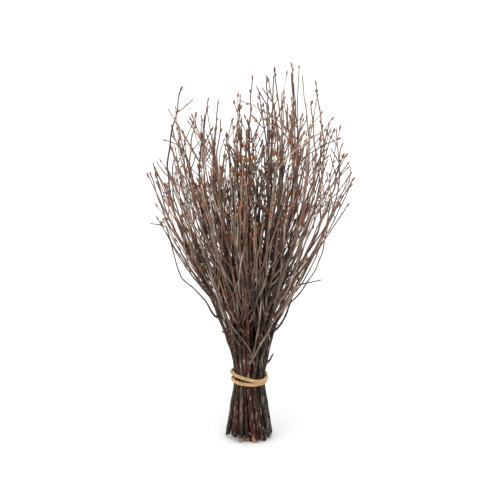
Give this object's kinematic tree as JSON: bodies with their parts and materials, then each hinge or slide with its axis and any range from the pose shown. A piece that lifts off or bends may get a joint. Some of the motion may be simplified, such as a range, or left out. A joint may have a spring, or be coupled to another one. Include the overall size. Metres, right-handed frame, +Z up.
{
  "type": "bundle of birch twigs",
  "caption": "Upright sheaf of forked birch twigs with flat cut feet, drawn in by jute twine wound twice and knotted at the back, fanning out above it.",
  "frame": {"origin": "on the floor, in the middle of the middle twig's flat cut end", "axes": "+Z up along the bundle from its cut ends to its tips; -Y is the front and the knot is at the back, +Y; +X is to the right seen from the front"},
  "size_m": [0.2146, 0.2203, 0.4],
  "materials": {
    "birch_bark": "dry, slightly glossy dark red-brown bark",
    "jute_twine": "matt natural jute"
  },
  "bodies": {
    "root": {"twig_01": "birch_bark", "twig_02": "birch_bark", "twig_03": "birch_bark", "twig_04": "birch_bark", "twig_05": "birch_bark", "twig_06": "birch_bark", "twig_07": "birch_bark", "twig_08": "birch_bark", "twig_09": "birch_bark", "twig_10": "birch_bark", "twig_11": "birch_bark", "twig_12": "birch_bark", "twig_13": "birch_bark", "twig_14": "birch_bark", "twig_15": "birch_bark", "twig_16": "birch_bark", "twig_17": "birch_bark", "twig_18": "birch_bark", "twig_19": "birch_bark", "twig_20": "birch_bark", "twig_21": "birch_bark", "twig_22": "birch_bark", "twig_23": "birch_bark", "twig_24": "birch_bark", "twig_25": "birch_bark", "twig_26": "birch_bark", "twig_27": "birch_bark", "twig_28": "birch_bark", "twig_29": "birch_bark", "twig_30": "birch_bark", "twig_31": "birch_bark", "twig_32": "birch_bark", "twig_33": "birch_bark", "twig_34": "birch_bark", "twig_35": "birch_bark", "twig_36": "birch_bark", "twig_37": "birch_bark", "twig_38": "birch_bark", "twig_39": "birch_bark", "twig_40": "birch_bark", "twig_41": "birch_bark", "twig_42": "birch_bark", "twig_43": "birch_bark", "twig_44": "birch_bark", "twig_45": "birch_bark", "twig_46": "birch_bark", "twine_tie": "jute_twine"}
  },
  "joints": []
}
